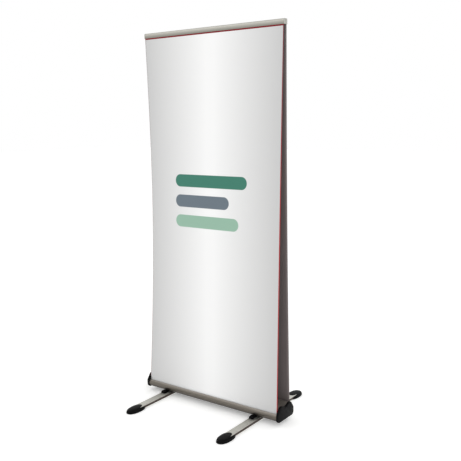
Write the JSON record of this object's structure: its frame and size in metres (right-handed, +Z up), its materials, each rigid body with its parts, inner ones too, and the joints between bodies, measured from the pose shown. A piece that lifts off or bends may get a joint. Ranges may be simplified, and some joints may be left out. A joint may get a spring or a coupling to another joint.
{
  "type": "roll-up banner stand",
  "caption": "Double-sided roll-up banner stand: aluminium cassette on two swivelling feet, a telescopic pole and two top rails that hold a film banner to each side.",
  "frame": {"origin": "on the floor, under the middle of the cassette", "axes": "+Z up, +X along the cassette, -Y towards the front banner"},
  "size_m": [0.8842, 0.766, 1.955],
  "materials": {
    "cassette_metal": "satin anodised",
    "rail_metal": "satin anodised",
    "foot_metal": "satin anodised",
    "tube_metal": "drawn tube, satin",
    "steel": "zinc plated",
    "spring_steel": "oiled wire",
    "black_plastic": "fine moulded texture",
    "grey_plastic": "moulded",
    "banner_film": "matt printed film with a grey back"
  },
  "bodies": {
    "base": {"cassette_housing": "cassette_metal", "end_cap_left": "black_plastic", "end_cap_right": "black_plastic", "cap_screw_left_lower": "steel", "cap_screw_left_upper": "steel", "cap_screw_right_lower": "steel", "cap_screw_right_upper": "steel", "pole_socket": "black_plastic", "pole_lower_tube": "tube_metal", "lower_clamp_collar": "black_plastic", "lower_lever_pin": "steel", "front_spring_arbor": "steel", "rear_spring_arbor": "steel", "front_spring": "spring_steel", "rear_spring": "spring_steel", "foot_screw_left": "steel", "foot_screw_right": "steel", "foot_nut_left": "steel", "foot_nut_right": "steel", "foot_washer_left": "black_plastic", "foot_washer_right": "black_plastic", "foot_clip_left": "black_plastic", "foot_clip_right": "black_plastic", "banner_front": "banner_film", "banner_rear": "banner_film"},
    "front_roller": {"front_roller_tube": "tube_metal", "front_plug_left": "black_plastic", "front_plug_right": "black_plastic", "front_film_turns": "banner_film"},
    "rear_roller": {"rear_roller_tube": "tube_metal", "rear_plug_left": "black_plastic", "rear_plug_right": "black_plastic", "rear_film_turns": "banner_film"},
    "lower_lever": {"lower_lever": "black_plastic"},
    "pole_middle": {"pole_middle_tube": "tube_metal", "middle_clamp_collar": "black_plastic", "middle_lever_pin": "steel"},
    "middle_lever": {"middle_lever": "black_plastic"},
    "pole_upper": {"pole_upper_tube": "tube_metal", "pole_head": "black_plastic"},
    "rail_front": {"rail_front": "rail_metal", "rail_hook_front": "black_plastic", "rail_cap_front_left": "grey_plastic", "rail_cap_front_right": "grey_plastic"},
    "rail_rear": {"rail_rear": "rail_metal", "rail_hook_rear": "black_plastic", "rail_cap_rear_left": "grey_plastic", "rail_cap_rear_right": "grey_plastic"},
    "foot_left": {"foot_bar_left": "foot_metal", "foot_tip_left_front": "black_plastic", "foot_tip_left_rear": "black_plastic"},
    "foot_right": {"foot_bar_right": "foot_metal", "foot_tip_right_front": "black_plastic", "foot_tip_right_rear": "black_plastic"}
  },
  "joints": [
    {"name": "pole_middle_slide", "type": "slide", "parent": "base", "child": "pole_middle", "axis": [0, 0, 1], "range_m": [-0.52, 0], "deforming": ["banner_front", "banner_rear"]},
    {"name": "pole_upper_slide", "type": "slide", "parent": "pole_middle", "child": "pole_upper", "axis": [0, 0, 1], "range_m": [-0.52, 0]},
    {"name": "rail_front_lift", "type": "slide", "parent": "pole_upper", "child": "rail_front", "axis": [0, 0, 1], "range_m": [0, 0.01]},
    {"name": "rail_rear_lift", "type": "slide", "parent": "pole_upper", "child": "rail_rear", "axis": [0, 0, 1], "range_m": [0, 0.01]},
    {"name": "front_roller_spin", "type": "hinge", "parent": "base", "child": "front_roller", "pos_m": [0, -0.043, 0.053], "axis": [1, 0, 0], "range_deg": [0, 3470]},
    {"name": "rear_roller_spin", "type": "hinge", "parent": "base", "child": "rear_roller", "pos_m": [0, 0.043, 0.053], "axis": [1, 0, 0], "range_deg": [-3470, 0]},
    {"name": "lower_lever_open", "type": "hinge", "parent": "base", "child": "lower_lever", "pos_m": [0.0218, 0, 0.625], "axis": [0, -1, 0], "range_deg": [0, 105]},
    {"name": "middle_lever_open", "type": "hinge", "parent": "pole_middle", "child": "middle_lever", "pos_m": [0.0203, 0, 1.205], "axis": [0, -1, 0], "range_deg": [0, 105]},
    {"name": "foot_left_swivel", "type": "hinge", "parent": "base", "child": "foot_left", "pos_m": [-0.297, -0.03, 0.018], "axis": [0, 0, -1], "range_deg": [0, 90]},
    {"name": "foot_right_swivel", "type": "hinge", "parent": "base", "child": "foot_right", "pos_m": [0.297, 0.03, 0.018], "axis": [0, 0, -1], "range_deg": [0, 90]}
  ],
  "couplings": [
    {"joint": "pole_upper_slide", "follows": "pole_middle_slide", "ratio": 1},
    {"joint": "front_roller_spin", "follows": "pole_middle_slide", "rad_per_m": -116.28},
    {"joint": "rear_roller_spin", "follows": "pole_middle_slide", "rad_per_m": 116.28}
  ]
}
